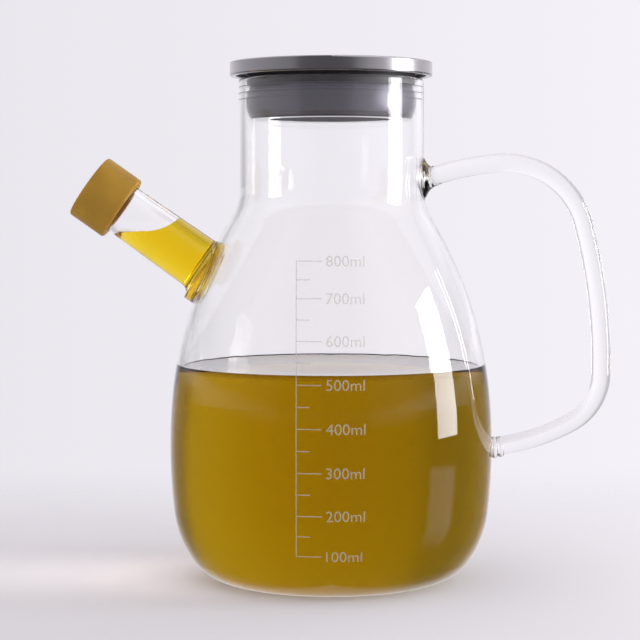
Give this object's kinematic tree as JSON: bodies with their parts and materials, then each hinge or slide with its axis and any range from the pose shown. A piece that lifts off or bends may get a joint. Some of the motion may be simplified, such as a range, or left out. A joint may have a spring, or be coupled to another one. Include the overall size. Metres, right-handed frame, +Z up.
{
  "type": "oil and vinegar jug",
  "caption": "Clear blown glass jug of oil with a measuring scale, rod handle, slanted spout with a silicone cap, and a steel lid with a silicone plug",
  "frame": {"origin": "centre of the flat base, on the surface it stands on", "axes": "+Z up the jug's axis, -X towards the spout, +X towards the handle, -Y towards the measuring scale"},
  "size_m": [0.1782, 0.1062, 0.1703],
  "materials": {
    "clear_glass": "clear, polished, fire-rounded rim",
    "oil": "clear golden oil",
    "steel": "brushed round the axis",
    "dark_rubber": "matt",
    "clear_silicone": "satin, translucent",
    "amber_silicone": "satin, slightly translucent"
  },
  "bodies": {
    "root": {"glass_jug": "clear_glass", "oil": "oil", "spout_oil": "oil", "lid_cap": "steel", "lid_core": "steel", "lid_gasket": "dark_rubber", "lid_sleeve": "clear_silicone", "spout_cap": "amber_silicone"}
  },
  "joints": []
}
